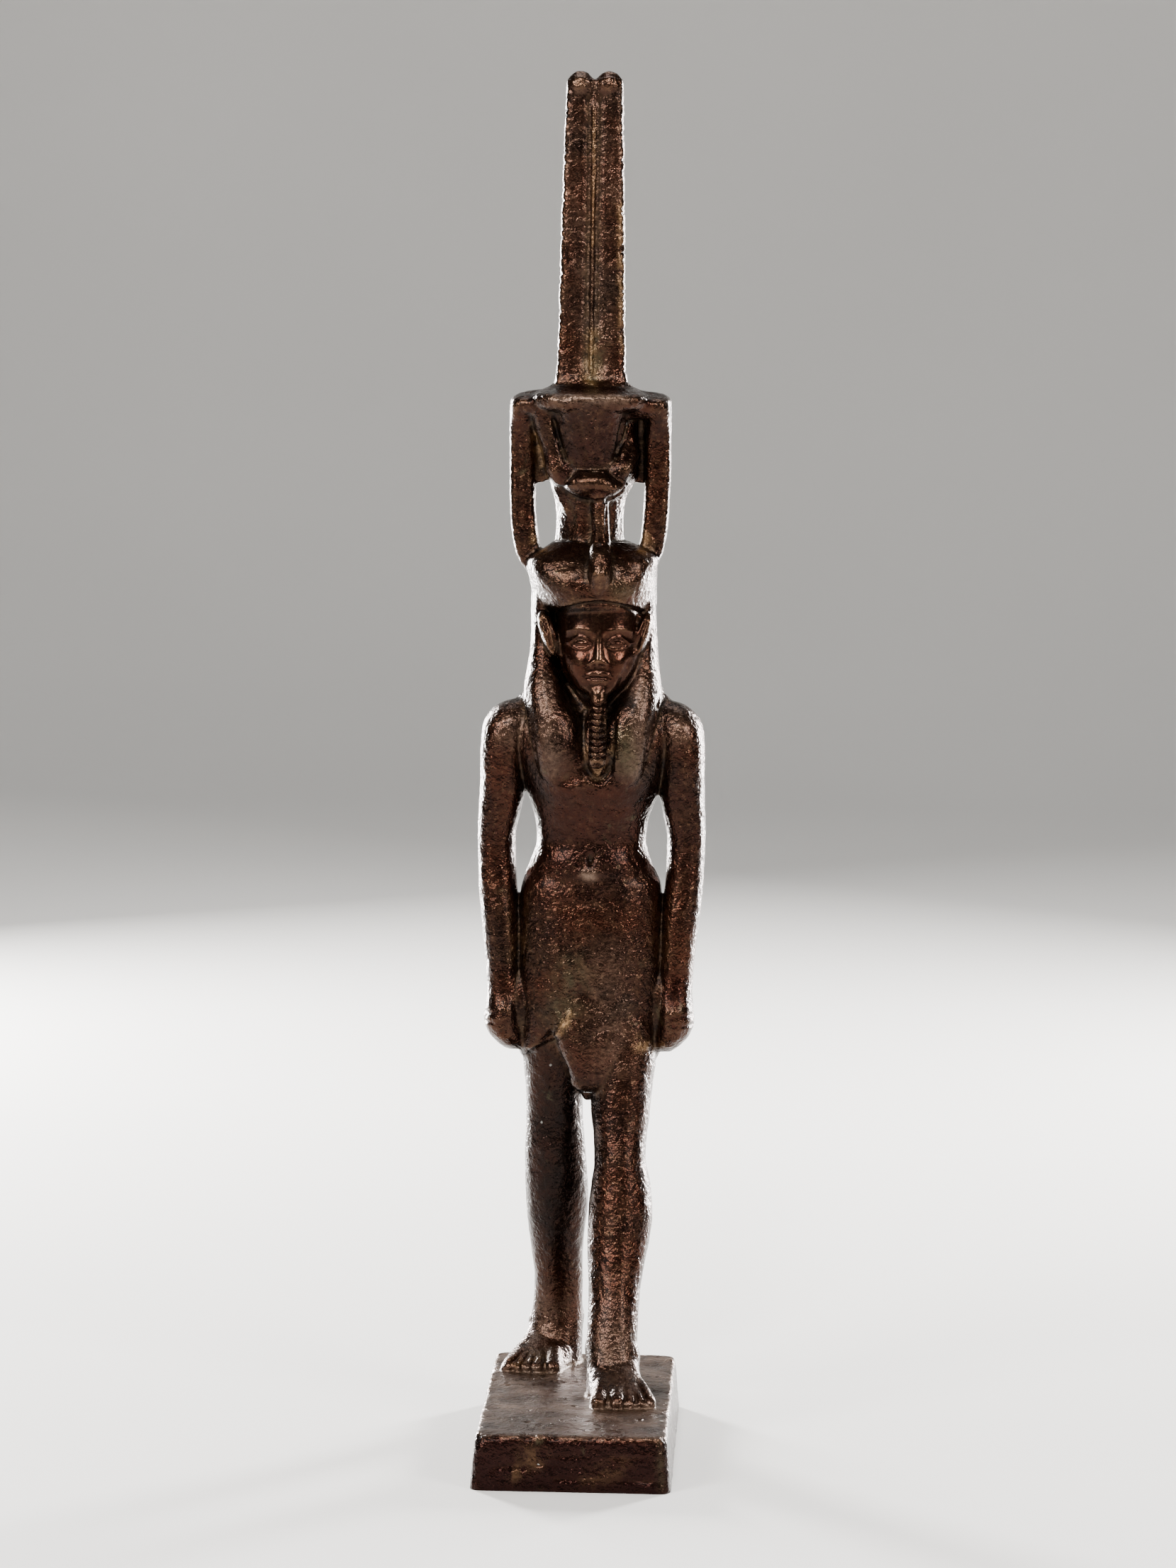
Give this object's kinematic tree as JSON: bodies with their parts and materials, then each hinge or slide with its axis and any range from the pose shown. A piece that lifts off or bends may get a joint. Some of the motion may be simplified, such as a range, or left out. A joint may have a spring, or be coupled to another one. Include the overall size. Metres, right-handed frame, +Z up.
{
  "type": "nefertum statue",
  "caption": "Cast bronze statuette of a striding god in a short kilt, with a wig, a plaited beard and a tall lotus crown with plumes, on its low plinth.",
  "frame": {"origin": "on the plinth's underside, at the middle of the whole part's footprint", "axes": "+Z up, the god looks along -Y, and +X is on the right of someone who faces it"},
  "size_m": [0.0354, 0.0588, 0.2109],
  "materials": {
    "bronze": "dark brown patinated bronze, satin, fine-grained, with ochre and green in the hollows"
  },
  "bodies": {
    "root": {"statuette": "bronze"}
  },
  "joints": []
}
